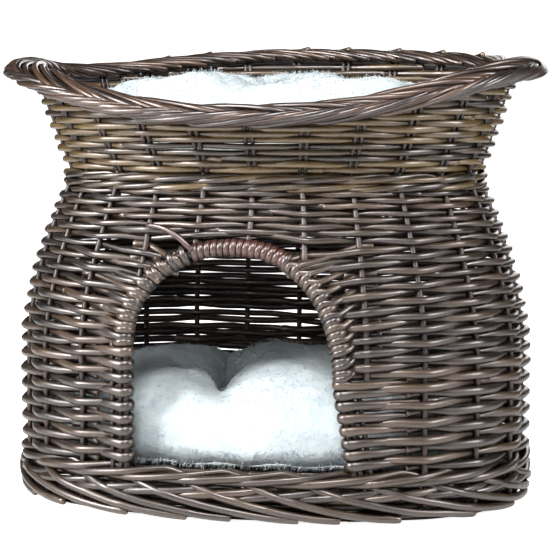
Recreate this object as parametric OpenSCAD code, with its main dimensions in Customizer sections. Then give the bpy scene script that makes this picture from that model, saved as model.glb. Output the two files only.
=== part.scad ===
// Two-storey willow pet basket: a cave with an arched door below, an open flared bed above,
// and a loose cushion on each storey. Millimetres, +Z up, the door faces -Y.
// The origin is on the ground, at the centre of the basket's plan.

/* [Overall size] */
// Width over the rim border
rim_w = 536; // [500:2:600]
// Depth over the rim border
rim_d = 366; // [340:2:400]
// Squareness of the oval plan, 2 is an ellipse
plan_power = 2.35; // [2:0.05:2.8]
// Thickness of the woven walls
wall_t = 15; // [12:1:16]

/* [Cave] */
// Width over the cave wall below its shoulder
cave_w = 508; // [480:4:520]
// Width over the waist
waist_w = 420; // [400:4:440]
// Height of the foot border
foot_h = 30; // [24:1:36]
// Height of the top of the base waling
base_top_z = 50; // [44:1:56]
// Height where the wall starts to draw in
shoulder_z = 150; // [130:5:170]
// Height of the underside of the waist waling
waist_z = 302; // [290:2:310]
// Height of the waist waling
waist_h = 18; // [16:1:26]

/* [Door] */
// Distance of the left post from the middle
door_left = 118; // [100:1:125]
// Distance of the right post's top from the middle
door_right = 90; // [80:1:115]
// How far the right post's foot stands out beyond its top
right_splay = 15; // [0:1:20]
// Offset of the arch's crown from the middle
crown_x = -13; // [-40:1:20]
// Height of the middle of the hoop at the crown
crown_z = 253; // [230:1:260]
// Height where the arch springs from the left post
left_spring_z = 162; // [150:1:215]
// Height where the arch springs from the right post
right_spring_z = 128; // [120:1:200]
// Fullness of the arch's shoulders, 2 is an ellipse
arch_power = 2.15; // [2:0.05:2.6]
// Diameter of the bound hoop
hoop_d = 16; // [12:1:20]

/* [Bed] */
// Height of the rim's top at the front
rim_front_z = 386; // [365:1:400]
// Height of the rim's top at the ends
rim_end_z = 430; // [400:1:440]
// Height of the rim's top at the back
rim_back_z = 441; // [420:1:450]
// How much lower the rim runs at the back left
rim_sag = 20; // [0:1:24]
// Height of the rim border
rim_h = 24; // [18:1:30]
// How far the rim border stands out from the bed wall
rim_overhang = 28; // [16:1:34]

/* [Weave] */
// Number of upright stakes round each storey, a multiple of 4
stake_count = 24; // [20:4:28]
// Diameter of a cave stake
stake_d = 5; // [4:0.5:6]
// Diameter of the floor sticks
floor_stick_d = 6; // [5:0.5:8]
// Thickness of the woven floors
floor_t = 6; // [5:1:8]

/* [Cushions] */
// Thickness of the lower cushion
lower_cushion_h = 86; // [60:1:90]
// Thickness of the upper cushion
upper_cushion_h = 100; // [60:1:104]
// Thickness of the plush cover
cover_t = 3; // [2:0.5:5]
// Diameter of a tuft stitch
tuft_d = 4; // [3:0.5:6]

/* [Hidden] */

// The depth of every oval is its width less this much on each side
side_in = (rim_w - rim_d) / 2;
cave_a = cave_w / 2;
waist_a = waist_w / 2;
bed_top_a = rim_w / 2 - rim_overhang;
waist_top_z = waist_z + waist_h;
waist_mid_z = waist_z + waist_h / 2;
segments = 2 * stake_count;
clearance = 0.4;
floor_z = foot_h + floor_stick_d;
bed_floor_z = waist_z + 2 + floor_stick_d;
wall_mid = wall_t / 2;
// Colours of the willow, the cane and the plush
bark = "#5a4c46";
dark_bark = "#43372f";
olive = "#7a6f58";
cane = "#6a4a42";
plush = "#f2f6f6";
lining = "#dfe4e4";

// ---- Plan and heights ----

function signed_pow(v, e) = sign(v) * pow(abs(v), e);

// Point of the oval with half width a, at the parameter angle t
function oval(a, t) = [
    a * signed_pow(cos(t), 2 / plan_power),
    (a - side_in) * signed_pow(sin(t), 2 / plan_power)];

// Length round the cave's oval from the front centre, beside the angle that reaches it
arc_table = [for (t = -90, run = 0; t <= 270;
    run = run + norm(oval(cave_a, t + 1) - oval(cave_a, t)), t = t + 1) [run, t]];
arc_total = arc_table[len(arc_table) - 1][0];

// Angle at a share of the way round, so that equal shares are equal lengths of wall
function angle_at(share) = lookup(share * arc_total, arc_table);
angles = [for (i = [0:segments - 1]) angle_at(i / segments)];
stake_angles = [for (i = [0:stake_count - 1]) angle_at(i / stake_count)];

function lift(p, z) = [p[0], p[1], z];
function oval_ring(a, z) = [for (t = angles) lift(oval(a, t), z)];

// Half width of the cave wall's outside at height z: upright, then drawn in to the waist
function cave_half(z) = let (h = max(0, (min(z, waist_mid_z) - shoulder_z) / (waist_mid_z - shoulder_z)))
    cave_a - (cave_a - waist_a) * pow(h, 1.6);

// Height of the rim's top at the parameter angle t
function rim_z(t) = let (s = sin(t))
    rim_end_z
    + (s < 0 ? (rim_front_z - rim_end_z) * pow(-s, 2.6) : (rim_back_z - rim_end_z) * s * s)
    - rim_sag * pow(max(0, -cos(t)), 1.5) * max(0, s);

// Half width of the bed wall's outside, a share h of the way up from the waist
function bed_half(h) = waist_a + (bed_top_a - waist_a) * h;
// Point inset from the bed wall's outside, at the angle t and the share h of its height
function bed_point(t, h, inset) = let (top = rim_z(t) - rim_h)
    lift(oval(bed_half(h) - inset, t), waist_top_z + (top - waist_top_z) * h);

// Depth of the front wall's middle surface at x and height z, as a distance from the XZ plane
function front_depth(x, z) = let (a = cave_half(z) - wall_mid, b = a - side_in)
    b * pow(1 - pow(abs(x) / a, plan_power), 1 / plan_power);

// ---- Solids from rings of points ----

// Skins a list of rings; wrapped joins the last ring to the first, else both ends are capped
module loft(rings, wrapped = false) {
    n = len(rings[0]);
    k = len(rings);
    last = wrapped ? k - 1 : k - 2;
    sides = [for (i = [0:last], j = [0:n - 1]) let (i2 = (i + 1) % k, j2 = (j + 1) % n)
        each [[i * n + j, i2 * n + j, i2 * n + j2], [i * n + j, i2 * n + j2, i * n + j2]]];
    caps = wrapped ? [] : [[for (j = [0:n - 1]) j], [for (j = [n - 1:-1:0]) (k - 1) * n + j]];
    polyhedron([for (r = rings) each r], concat(sides, caps), convexity = 8);
}

// Tube between an outer and an inner list of rings
module sleeve(outer, inner) {
    n = len(outer);
    m = len(outer[0]);
    shift = n * m;
    skin = [for (i = [0:n - 2], j = [0:m - 1]) let (j2 = (j + 1) % m,
        a = i * m + j, b = (i + 1) * m + j, c = (i + 1) * m + j2, d = i * m + j2)
        each [[a, b, c], [a, c, d],
            [shift + a, shift + c, shift + b], [shift + a, shift + d, shift + c]]];
    ends = [for (j = [0:m - 1]) let (j2 = (j + 1) % m, e = (n - 1) * m)
        each [[j, j2, shift + j2], [j, shift + j2, shift + j],
            [e + j, shift + e + j, shift + e + j2], [e + j, shift + e + j2, e + j2]]];
    polyhedron(concat([for (r = outer) each r], [for (r = inner) each r]), concat(skin, ends),
        convexity = 8);
}

// Upright rod through the points, with level end faces
module upright_rod(points, d, sides = 6) {
    loft([for (p = points) [for (j = [0:sides - 1])
        p + d / 2 * [cos(360 * j / sides), sin(360 * j / sides), 0]]]);
}

// Rod that follows the points over the door, with faces square to its line
function door_frame(points, i) = let (
    ahead = points[min(i + 1, len(points) - 1)] - points[max(i - 1, 0)],
    along = ahead / norm(ahead),
    across = cross(along, [0, -1, 0]) / norm(cross(along, [0, -1, 0])))
    [across, cross(across, along)];
function door_rings(points, d, sides) = [for (i = [0:len(points) - 1])
    let (f = door_frame(points, i)) [for (j = [0:sides - 1])
        points[i] - d / 2 * (cos(360 * j / sides) * f[0] + sin(360 * j / sides) * f[1])]];

// Flat ring between two ovals
module oval_band(a, width, z, h) {
    translate([0, 0, z]) linear_extrude(h) difference() {
        polygon([for (t = angles) oval(a, t)]);
        polygon([for (t = angles) oval(a - width, t)]);
    }
}

// Wall of the cave between two heights
module cave_wall(z0, z1, steps) {
    heights = [for (i = [0:steps]) z0 + (z1 - z0) * i / steps];
    loft(concat([for (z = heights) oval_ring(cave_half(z), z)],
        [for (i = [steps:-1:0]) oval_ring(cave_half(heights[i]) - wall_t, heights[i])]), true);
}

// ---- Door outline ----

// Point of a quarter arch, q degrees up from its spring: shares of its reach and of its rise
function arch_share(q) = [pow(cos(q), 2 / arch_power), pow(sin(q), 2 / arch_power)];
// Points of the hoop's middle line or, grown by w, of an outline outside it: [x, z] pairs
function arch_line(w, steps) = concat(
    [for (i = [0:steps]) let (s = arch_share(90 * i / steps))
        [crown_x - (door_left + crown_x + w) * s[0],
         left_spring_z + (crown_z - left_spring_z + w) * s[1]]],
    [for (i = [steps - 1:-1:0]) let (s = arch_share(90 * i / steps))
        [crown_x + (door_right - crown_x + w) * s[0],
         right_spring_z + (crown_z - right_spring_z + w) * s[1]]]);

function on_front(p) = [p[0], -front_depth(p[0], p[1]), p[1]];

// Cutter for the walls, reaching from the middle of the basket out through its front
module door_cut() {
    w = hoop_d / 2 + clearance;
    outline = concat([[-door_left - w, base_top_z - 1]], arch_line(w, 8),
        [[door_right + right_splay + w, base_top_z - 1]]);
    rotate([90, 0, 0]) linear_extrude(rim_d) polygon(outline);
}

post_foot_z = foot_h + 2;
function left_post_line() =
    [for (z = [post_foot_z, (post_foot_z + left_spring_z) / 2, left_spring_z]) [-door_left, z]];
function right_post_line() = [for (i = [0:2]) let (h = i / 2)
    [door_right + right_splay * (1 - h), post_foot_z + (right_spring_z - post_foot_z) * h]];

// ---- Floors, foot and walings ----

// Sticks under a floor: long ones side by side, and short ones pushed through between them
module sticks(a, z, long_gap, short_gap, shorts) {
    b = a - side_in;
    for (i = [-1:1]) translate([0, i * long_gap, z]) rotate([0, 90, 0])
        cylinder(h = 2 * a * pow(1 - pow(abs(i) * long_gap / b, plan_power), 1 / plan_power),
            d = floor_stick_d, center = true, $fn = 24);
    for (i = [-shorts:shorts], side = [-1, 1]) for (k = [0:1])
        translate([i * short_gap, side * (floor_stick_d / 2 + clearance + k * long_gap), z])
            rotate([-90 * side, 0, 0]) cylinder(h = k == 0
                ? long_gap - floor_stick_d - 2 * clearance
                : b * pow(1 - pow(abs(i) * short_gap / a, plan_power), 1 / plan_power)
                    - long_gap - floor_stick_d / 2 - clearance,
                d = floor_stick_d, $fn = 24);
}

module floor_sticks() {
    color(dark_bark) sticks(cave_a - wall_mid - stake_d, foot_h + floor_stick_d / 2, 40, 55, 3);
}

module floor_weave() {
    color(bark) translate([0, 0, floor_z]) linear_extrude(floor_t)
        polygon([for (t = angles) oval(cave_a - wall_t, t)]);
}

module foot_border() {
    color(bark) oval_band(cave_a + 3, wall_t + 8, 0, foot_h);
}

module base_waling() {
    color(bark) oval_band(cave_a + 2, wall_t + 2, foot_h, base_top_z - foot_h);
}

module waist_waling() {
    color(dark_bark) oval_band(waist_a + 2, wall_t + 4, waist_z, waist_h);
}

module bed_floor_sticks() {
    color(dark_bark)
        sticks(waist_a - wall_t - 6, bed_floor_z - floor_stick_d / 2, 34, 48, 3);
}

module bed_floor_weave() {
    color(olive) translate([0, 0, bed_floor_z]) linear_extrude(floor_t)
        polygon([for (t = angles) oval(waist_a - wall_t - 2, t)]);
}

// ---- Cave ----

// Stakes run up from the foot border, but those over the door start above the arch
function stake_low_z(i) =
    i <= 1 || i == stake_count - 1 ? crown_z + hoop_d
    : i == 2 ? right_spring_z + 2 * hoop_d
    : i == stake_count - 2 ? left_spring_z + 4 * hoop_d
    : 4;

module cave_stakes() {
    color(dark_bark) for (i = [0:stake_count - 1]) {
        low = stake_low_z(i);
        upright_rod([for (h = [0:1 / 7:1.01]) let (z = low + (waist_top_z - 2 - low) * h)
            lift(oval(cave_half(z) - wall_mid, stake_angles[i]), z)], stake_d);
    }
}

module cave_weave() {
    color(bark) difference() {
        cave_wall(base_top_z, left_spring_z, 7);
        door_cut();
    }
}

module shoulder_weave() {
    color(bark) difference() {
        cave_wall(left_spring_z, waist_z, 5);
        door_cut();
    }
}

// ---- Door ----

hoop_points = [for (p = arch_line(0, 8)) on_front(p)];
hoop_core_d = hoop_d - 5;
// Height of one turn round a post
turn_h = 6;

// A post is two rods side by side
module post(line, inward) {
    color(dark_bark) for (side = [-1, 1])
        upright_rod([for (p = line) on_front(p) + [side * inward, 0, 0]], 2 * inward - clearance, 8);
}

module door_post_left() {
    post(left_post_line(), 3.2);
}

module door_post_right() {
    post(right_post_line(), 3.2);
}

// Turns of the weavers round a post, from the base waling up to the arch
module post_turns(line, pitch) {
    low = base_top_z + turn_h / 2 + 1;
    high = line[2][1] - turn_h / 2 - 1;
    n = floor((high - low) / pitch);
    for (i = [0:n]) let (z = low + i * pitch, h = (z - line[0][1]) / (line[2][1] - line[0][1]))
        translate(on_front([line[0][0] + (line[2][0] - line[0][0]) * h, z]) - [0, 0, turn_h / 2])
            difference() {
                cylinder(h = turn_h, d = hoop_d, $fn = 12);
                translate([0, 0, -1]) cylinder(h = turn_h + 2, d = hoop_d - 2.6, $fn = 12);
            }
}

module door_post_wraps() {
    color(bark) post_turns(left_post_line(), 14);
    color(bark) post_turns(right_post_line(), 13);
}

module door_arch_hoop() {
    color(dark_bark) loft(door_rings(hoop_points, hoop_core_d, 8));
}

module door_arch_binding() {
    color(cane) sleeve(door_rings(hoop_points, hoop_d, 8), door_rings(hoop_points, hoop_core_d, 8));
}

// ---- Bed ----

module bed_stakes() {
    color(dark_bark) for (t = stake_angles, side = [-1, 1])
        upright_rod([for (h = [-0.1, 0.5, 1.1])
            bed_point(t + side * 0.9, h, wall_mid)], stake_d - 1.4);
}

module bed_weave() {
    shares = [0, 0.5, 1];
    color(olive) loft(concat(
        [for (h = shares) [for (t = angles) bed_point(t, h, 0)]],
        [for (i = [2:-1:0]) [for (t = angles) bed_point(t, shares[i], wall_t)]]), true);
}

// Ring of the rim border, out from the wall's outside and up from the border's underside
function rim_ring(out, up) =
    [for (t = angles) lift(oval(bed_top_a + out, t), rim_z(t) - rim_h + up)];

module rim_border_core() {
    color(dark_bark) loft([rim_ring(8, 6), rim_ring(14, 12), rim_ring(8, 18), rim_ring(-4, 18),
        rim_ring(-8, 12), rim_ring(-4, 6)], true);
}

module rim_border_plait() {
    outline = [[4, 0], [rim_overhang - 7, 1], [rim_overhang, 9], [rim_overhang - 6, 18], [8, rim_h],
        [-6, rim_h], [-wall_t - 1, 16], [-wall_t, 6], [-8, 0]];
    bore = [[-4, 6], [-8, 12], [-4, 18], [8, 18], [14, 12], [8, 6]];
    // A slit under the core, where the stakes come up into it
    slit = [[-2, 6], [-2, 0]];
    color(bark) loft([for (p = concat([[0, 0]], outline, slit)) rim_ring(p[0], p[1])], true);
}

// ---- Cushions ----

// Shares of the half width at which the crown and the belly have a ring of points
crown_shares = [0.04, 0.35, 0.62, 0.82, 0.94, 1];
belly_shares = [0.04, 0.86, 0.96, 1];

function pillow_ring(a, share, z) =
    [for (i = [0:2:segments - 1]) lift(share * oval(a, angles[i]), z)];
// Rings of the crown from its edge to its middle, and of the belly from its middle to its edge
function crown_rings(a, z, up) = [for (i = [len(crown_shares) - 1:-1:0]) let (s = crown_shares[i])
    pillow_ring(a, s, z + up * pow(1 - pow(s, 4), 0.5))];
function belly_rings(a, z, down) = [for (s = belly_shares)
    pillow_ring(a, s, z - down * pow(1 - pow(s, 5), 0.4))];
function reverse(list) = [for (i = [len(list) - 1:-1:0]) list[i]];

// A cushion is [half width, height of its seam, crown above the seam, belly below it, tuft places]
lower_cushion = [cave_a - 22, floor_z + floor_t + clearance + 14, lower_cushion_h - 14, 14,
    [[-55, -15], [105, -10]]];
upper_cushion = [waist_a - 9, bed_floor_z + floor_t + clearance + 38, upper_cushion_h - 38, 38,
    [[-92, 30], [-8, -28], [88, 26]]];

module top_cover(c) {
    color(plush) loft(concat(reverse(crown_rings(c[0] - cover_t, c[1], c[2] - cover_t)),
        crown_rings(c[0], c[1], c[2])));
}

module base_cover(c) {
    color(lining) loft(concat(belly_rings(c[0], c[1], c[3]),
        reverse(belly_rings(c[0] - cover_t, c[1], c[3] - cover_t))));
}

module filling(c) {
    crown = crown_rings(c[0] - cover_t, c[1], c[2] - cover_t);
    color("white") loft(concat(belly_rings(c[0] - cover_t, c[1], c[3] - cover_t),
        [for (i = [1:len(crown) - 1]) crown[i]]));
}

// A stitch runs from the base cover up to the dimple that it pulls into the crown
module tufts(c) {
    color(lining) for (p = c[4]) translate([p[0], p[1], c[1] - c[3] + 1])
        cylinder(h = c[3] + 0.7 * c[2], d = tuft_d, $fn = 16);
}

module lower_cushion_top_cover() {
    top_cover(lower_cushion);
}

module lower_cushion_base_cover() {
    base_cover(lower_cushion);
}

module lower_cushion_filling() {
    filling(lower_cushion);
}

module lower_cushion_tufts() {
    tufts(lower_cushion);
}

module upper_cushion_top_cover() {
    top_cover(upper_cushion);
}

module upper_cushion_base_cover() {
    base_cover(upper_cushion);
}

module upper_cushion_filling() {
    filling(upper_cushion);
}

module upper_cushion_tufts() {
    tufts(upper_cushion);
}

floor_sticks();
floor_weave();
foot_border();
base_waling();
cave_stakes();
cave_weave();
shoulder_weave();
door_post_left();
door_post_right();
door_post_wraps();
door_arch_hoop();
door_arch_binding();
waist_waling();
bed_floor_sticks();
bed_floor_weave();
bed_stakes();
bed_weave();
rim_border_core();
rim_border_plait();
lower_cushion_top_cover();
lower_cushion_base_cover();
lower_cushion_filling();
lower_cushion_tufts();
upper_cushion_top_cover();
upper_cushion_base_cover();
upper_cushion_filling();
upper_cushion_tufts();
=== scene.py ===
"""The looks of a two-storey willow pet basket with two plush cushions, round its CAD model."""

import math

import bpy
import numpy as np
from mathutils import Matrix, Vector, noise


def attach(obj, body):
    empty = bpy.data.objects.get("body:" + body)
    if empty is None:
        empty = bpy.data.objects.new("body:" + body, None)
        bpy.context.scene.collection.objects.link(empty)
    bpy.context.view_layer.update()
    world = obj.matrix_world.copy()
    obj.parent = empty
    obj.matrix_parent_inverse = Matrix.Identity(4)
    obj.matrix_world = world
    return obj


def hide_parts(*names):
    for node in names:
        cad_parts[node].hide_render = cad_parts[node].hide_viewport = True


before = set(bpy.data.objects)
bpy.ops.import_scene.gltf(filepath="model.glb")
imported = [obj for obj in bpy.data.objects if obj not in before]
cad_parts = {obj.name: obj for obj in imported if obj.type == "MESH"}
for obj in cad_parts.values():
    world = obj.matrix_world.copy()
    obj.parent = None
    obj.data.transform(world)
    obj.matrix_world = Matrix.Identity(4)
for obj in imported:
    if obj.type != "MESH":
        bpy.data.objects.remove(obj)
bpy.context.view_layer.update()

# ---- Sizes of the frame, in metres ----

POWER = 2.35  # squareness of the oval plan
SIDE_IN = 0.085  # an oval's half depth is this much less than its half width
CAVE_A, WAIST_A, BED_TOP_A = 0.254, 0.210, 0.240  # half widths
WALL_MID = 0.0075  # from a wall's outside to its middle
FLOOR_Z, BED_FLOOR_Z = 0.036, 0.310
BASE_TOP_Z, SHOULDER_Z, WAIST_Z, WAIST_MID_Z, WAIST_TOP_Z = 0.050, 0.150, 0.302, 0.311, 0.320
RIM_FRONT_Z, RIM_END_Z, RIM_BACK_Z, RIM_H = 0.386, 0.430, 0.441, 0.024
RIM_SAG = 0.020  # how much lower the rim runs at the back left
DOOR_LEFT, DOOR_RIGHT, RIGHT_SPLAY = 0.118, 0.090, 0.015
CROWN_X, CROWN_Z, LEFT_SPRING_Z, RIGHT_SPRING_Z = -0.013, 0.253, 0.162, 0.128
ARCH_POWER = 2.15  # fullness of the arch's shoulders
POST_FOOT_Z = 0.032
STAKES = 24
STEP = 0.1  # bays between a weaver's points
ROUND_POINTS = round(STAKES / STEP)
PAST, SHORT_PAST = 0.35, 0.3  # bays that a rod's end runs on past its last stake
TUCK = 0.004  # how far a weaver's end is drawn in behind its stake


def unit(v):
    return v / np.linalg.norm(v, axis=-1, keepdims=True)


def run_along(points):
    """Length along a line up to each of its points."""
    return np.concatenate([[0], np.cumsum(np.linalg.norm(np.diff(points, axis=0), axis=1))])


# ---- Plan and heights. A bay is the space between two stakes, and u counts them from the front ----


def oval(a, t):
    c, s = np.cos(t), np.sin(t)
    x = a * np.sign(c) * np.abs(c) ** (2 / POWER)
    y = (a - SIDE_IN) * np.sign(s) * np.abs(s) ** (2 / POWER)
    return np.stack(np.broadcast_arrays(x, y), -1)


def outward(a, t):
    c, s = np.cos(t), np.sin(t)
    e = 2 * (POWER - 1) / POWER
    x = np.sign(c) * np.abs(c) ** e / a
    y = np.sign(s) * np.abs(s) ** e / (a - SIDE_IN)
    return unit(np.stack(np.broadcast_arrays(x, y), -1))


ARC_T = np.radians(np.arange(-90, 270.01, 0.25))
ARC_RUN = run_along(oval(CAVE_A, ARC_T))
ARC_U = ARC_RUN * (STAKES / ARC_RUN[-1])


def angle(u):
    return np.interp(np.mod(u, STAKES), ARC_U, ARC_T)


def cave_half(z):
    """Half width of the cave's outside at height z."""
    h = np.clip((np.minimum(z, WAIST_MID_Z) - SHOULDER_Z) / (WAIST_MID_Z - SHOULDER_Z), 0, 1)
    return CAVE_A - (CAVE_A - WAIST_A) * h**1.6


def bay_at_x(x, z):
    """Bay number on the front of the cave wall, at x and height z."""
    a = cave_half(z) - WALL_MID
    t = -math.acos(math.copysign((abs(x) / a) ** (POWER / 2), x))
    return float(np.interp(t if t > -math.pi / 2 else t + 2 * math.pi, ARC_T, ARC_U))


def rim_z(t):
    """Height of the rim's top at the oval's angle t."""
    s, c = np.sin(t), np.cos(t)
    front = (RIM_FRONT_Z - RIM_END_Z) * np.maximum(-s, 0) ** 2.6
    back = (RIM_BACK_Z - RIM_END_Z) * np.maximum(s, 0) ** 2
    sag = RIM_SAG * np.maximum(-c, 0) ** 1.5 * np.maximum(s, 0)
    return RIM_END_Z + front + back - sag


def on_oval(u, a, out, z):
    """Points at bays u on the oval of half width a, out from it, at height z."""
    t = angle(u)
    xy = oval(a, t) + np.asarray(out)[..., None] * outward(a, t)
    return np.concatenate([xy, np.broadcast_to(z, t.shape)[..., None]], -1)


def on_cave(u, out, z):
    return on_oval(u, cave_half(z) - WALL_MID, out, z)


def on_waist(u, out, z):
    return on_oval(u, WAIST_A - WALL_MID, out, z)


def on_bed(u, out, z):
    top = rim_z(angle(u)) - RIM_H
    share = (z - WAIST_TOP_Z) / (top - WAIST_TOP_Z)
    a = WAIST_A + (BED_TOP_A - WAIST_A) * np.clip(share, -0.15, 1.15) - WALL_MID
    return on_oval(u, a, out, z)


def on_front(xz):
    """Points of the cave wall's middle surface at x and z, on the front."""
    xz = np.asarray(xz, float)
    a = cave_half(xz[..., 1]) - WALL_MID
    depth = (a - SIDE_IN) * (1 - (np.abs(xz[..., 0]) / a) ** POWER) ** (1 / POWER)
    return np.stack([xz[..., 0], -depth, xz[..., 1]], -1)


# ---- Objects and rods ----


def new_object(name, data):
    obj = bpy.data.objects.new(name, data)
    bpy.context.scene.collection.objects.link(obj)
    return obj


def dress(mesh, name, material, body, nodes):
    """Makes the object of a mesh, gives it its finish, and has it stand for CAD nodes on a body."""
    obj = new_object(name, mesh)
    mesh.materials.append(material)
    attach(obj, body)
    if nodes:
        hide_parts(*nodes)
    return obj


CUT_LENGTH, CUT_RADIUS = 0.3, 0.8  # the chamfer at a rod's end, as shares of its radius
GRAIN_SPAN = 50  # metres over which the rods' grains are spread, so that no two are alike


class Rods:
    """Gathers rods that become one mesh, each with its own tone and its own grain."""

    def __init__(self, seed, sides=8):
        self.rng = np.random.default_rng(seed)
        self.sides = sides
        self.verts, self.quads, self.caps = [], [], []
        self.tone, self.cut, self.grain = [], [], []
        self.count = 0

    def add(self, path, radius, tone=None, up=(0, 0, 1), flat=1.0, cut=1.0):
        """A rod along path. up is the direction of its full radius, and flat scales it across."""
        path = np.asarray(path, float)
        n, m = len(path), self.sides
        radius = np.broadcast_to(radius, n).astype(float)
        flat = np.broadcast_to(flat, n).astype(float)
        along = unit(np.gradient(path, axis=0))
        up = np.broadcast_to(np.asarray(up, float), path.shape)
        one = unit(up - along * (up * along).sum(1, keepdims=True))
        two = np.cross(along, one)
        # One more ring at each end chamfers the cut
        first = path[0] - along[0] * radius[0] * CUT_LENGTH
        last = path[-1] + along[-1] * radius[-1] * CUT_LENGTH
        path = np.vstack([first, path, last])
        doubled = [0, *range(n), -1]
        one, two, flat = one[doubled], two[doubled], flat[doubled]
        radius = np.concatenate([[radius[0] * CUT_RADIUS], radius, [radius[-1] * CUT_RADIUS]])
        n += 2
        a = 2 * np.pi * (np.arange(m) + 0.5) / m
        sin, cos = np.sin(a)[None, :, None], np.cos(a)[None, :, None]
        across = sin * one[:, None] + cos * flat[:, None, None] * two[:, None]
        self.verts.append((path[:, None] + radius[:, None, None] * across).reshape(-1, 3))
        i, j = np.meshgrid(np.arange(n - 1), np.arange(m), indexing="ij")
        k = (j + 1) % m
        quads = np.stack([i * m + j, i * m + k, (i + 1) * m + k, (i + 1) * m + j], -1)
        self.quads.append(quads.reshape(-1, 4) + self.count)
        self.caps.append(self.count + np.arange(m)[::-1])
        self.caps.append(self.count + (n - 1) * m + np.arange(m))
        run = run_along(path) + self.rng.uniform(0, GRAIN_SPAN)
        section = [(radius[:, None] * wave[..., 0]).ravel() for wave in (sin, cos)]
        self.grain.append(np.stack([np.repeat(run, m), *section], -1))
        if tone is None:
            tone = self.rng.uniform(0, 1)
        self.tone.append(np.full(n * m, tone))
        ends = np.zeros(n)
        ends[[0, -1]] = cut
        self.cut.append(np.repeat(ends, m))
        self.count += n * m

    def taper(self, n, butt, tip, knots=3):
        """Radius along a rod that thins from butt to tip, with a few low knots."""
        s = np.linspace(0, 1, n)
        r = butt + (tip - butt) * s
        for c in self.rng.uniform(0, 1, knots):
            r = r * (1 + self.rng.uniform(0.03, 0.14) * np.exp(-(((s - c) * n / 1.2) ** 2)))
        return r

    def wobble(self, n, size, every=8):
        """A smooth random run of n values, about size high."""
        knots = self.rng.normal(0, size, n // every + 3)
        x = np.arange(n) / every
        i = x.astype(int)
        f = x - i
        f = f * f * (3 - 2 * f)
        return knots[i] * (1 - f) + knots[i + 1] * f

    def build(self, name, material, slot, *nodes, body="basket"):
        mesh = bpy.data.meshes.new(name)
        faces = np.concatenate(self.quads).tolist() + [c.tolist() for c in self.caps]
        mesh.from_pydata(np.concatenate(self.verts).tolist(), [], faces)
        mesh.polygons.foreach_set("use_smooth", np.ones(len(faces), bool))
        for key, kind, field, values in (
            ("tone", "FLOAT", "value", self.tone),
            ("cut", "FLOAT", "value", self.cut),
            ("grain", "FLOAT_VECTOR", "vector", self.grain),
        ):
            data = mesh.attributes.new(key, kind, "POINT").data
            data.foreach_set(field, np.concatenate(values).astype(np.float32).ravel())
        mesh.update()
        dress(mesh, name, material, body, nodes)


# ---- Materials ----


class Nodes:
    """A short way to write a node tree. Colours are four numbers, the last of them 1."""

    def __init__(self, name):
        self.material = bpy.data.materials.new(name)
        self.material.use_nodes = True
        self.tree = self.material.node_tree
        self.shader = self.tree.nodes["Principled BSDF"]

    def add(self, kind, inputs=(), **settings):
        node = self.tree.nodes.new(kind)
        for key, value in settings.items():
            setattr(node, key, value)
        for socket, value in dict(inputs).items():
            if isinstance(value, bpy.types.NodeSocket):
                self.tree.links.new(value, node.inputs[socket])
            else:
                node.inputs[socket].default_value = value
        return node

    def attribute(self, name, output="Fac"):
        return self.add("ShaderNodeAttribute", attribute_name=name).outputs[output]

    def position(self):
        return self.add("ShaderNodeTexCoord").outputs["Object"]

    def ramp(self, fac, stops):
        node = self.add("ShaderNodeValToRGB", {"Fac": fac})
        ramp = node.color_ramp
        while len(ramp.elements) < len(stops):
            ramp.elements.new(0.5)
        for element, (place, colour) in zip(ramp.elements, stops):
            element.position, element.color = place, colour
        return node.outputs["Color"]

    def grey(self, fac, low, high, dark=0.0, light=1.0):
        """A grey that goes from dark to light as fac goes from low to high."""
        return self.ramp(fac, [(low, (dark, dark, dark, 1)), (high, (light, light, light, 1))])

    def maths(self, operation, *values, clamp=False):
        inputs = dict(enumerate(values))
        node = self.add("ShaderNodeMath", inputs, operation=operation, use_clamp=clamp)
        return node.outputs[0]

    def mix(self, fac, a, b):
        return self.add("ShaderNodeMixRGB", {"Fac": fac, "Color1": a, "Color2": b}).outputs["Color"]

    def noise(self, vector, scale, detail, rough):
        inputs = {"Vector": vector, "Scale": scale, "Detail": detail, "Roughness": rough}
        return self.add("ShaderNodeTexNoise", inputs).outputs["Fac"]

    def stretched_noise(self, vector, scale, detail, rough):
        mapping = self.add("ShaderNodeMapping", {"Vector": vector, "Scale": scale})
        return self.noise(mapping.outputs["Vector"], 1.0, detail, rough)

    def bump(self, height, strength, distance):
        inputs = {"Height": height, "Strength": strength, "Distance": distance}
        return self.add("ShaderNodeBump", inputs).outputs["Normal"]

    def finish(self, constants, linked):
        for socket, value in constants.items():
            self.shader.inputs[socket].default_value = value
        for socket, value in linked.items():
            self.tree.links.new(value, self.shader.inputs[socket])
        return self.material


def srgb(code):
    """Linear colour of a hex code."""
    parts = [int(code[i : i + 2], 16) / 255 for i in (0, 2, 4)]
    return (*(p / 12.92 if p <= 0.04045 else ((p + 0.055) / 1.055) ** 2.4 for p in parts), 1)


PITH = srgb("6a5a48")
SHADE_STOPS = (0.12, 0.42, 0.62, 0.9)  # where a willow's four colours lie on its ramp


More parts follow.
